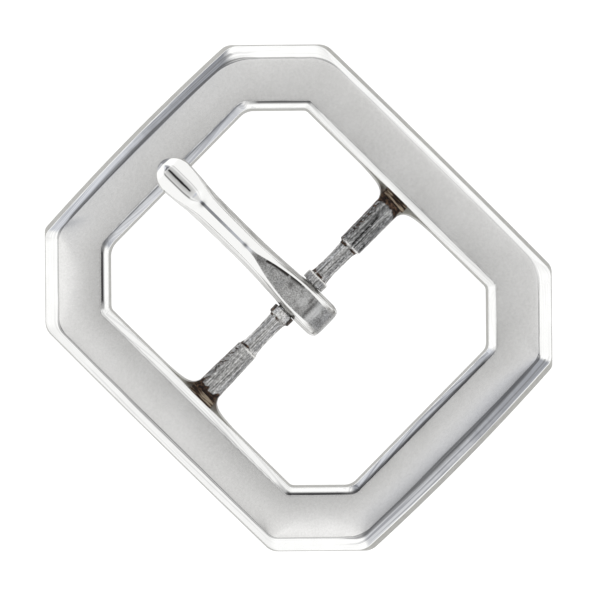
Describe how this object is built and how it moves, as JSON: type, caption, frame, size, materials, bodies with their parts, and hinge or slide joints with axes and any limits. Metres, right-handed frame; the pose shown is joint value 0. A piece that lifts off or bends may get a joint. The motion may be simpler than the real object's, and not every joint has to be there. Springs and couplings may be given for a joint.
{
  "type": "centre-bar belt buckle",
  "caption": "Flat octagonal metal belt buckle with a bevelled frame, a cast centre bar let into it and a hinged prong that rests on the frame's face.",
  "frame": {"origin": "on the back plane, under the middle of the frame, directly below the middle of the centre bar", "axes": "+Z out of the polished face, +X along the centre bar across the strap, +Y along the strap towards the prong's tip"},
  "size_m": [0.0566, 0.0658, 0.0072],
  "materials": {
    "frame_metal": "fine satin face with mirror-polished bevels",
    "bar_metal": "as cast and scratch-brushed lengthwise, with brown braze residue in the corners",
    "prong_metal": "mirror polished, with an unpolished flat over the eye"
  },
  "bodies": {
    "frame_assembly": {"frame": "frame_metal", "centre_bar": "bar_metal"},
    "prong": {"prong": "prong_metal"}
  },
  "joints": [
    {"name": "prong_hinge", "type": "hinge", "parent": "frame_assembly", "child": "prong", "pos_m": [0, 0, 0.0024], "axis": [1, 0, 0], "range_deg": [0, 163.5]}
  ]
}
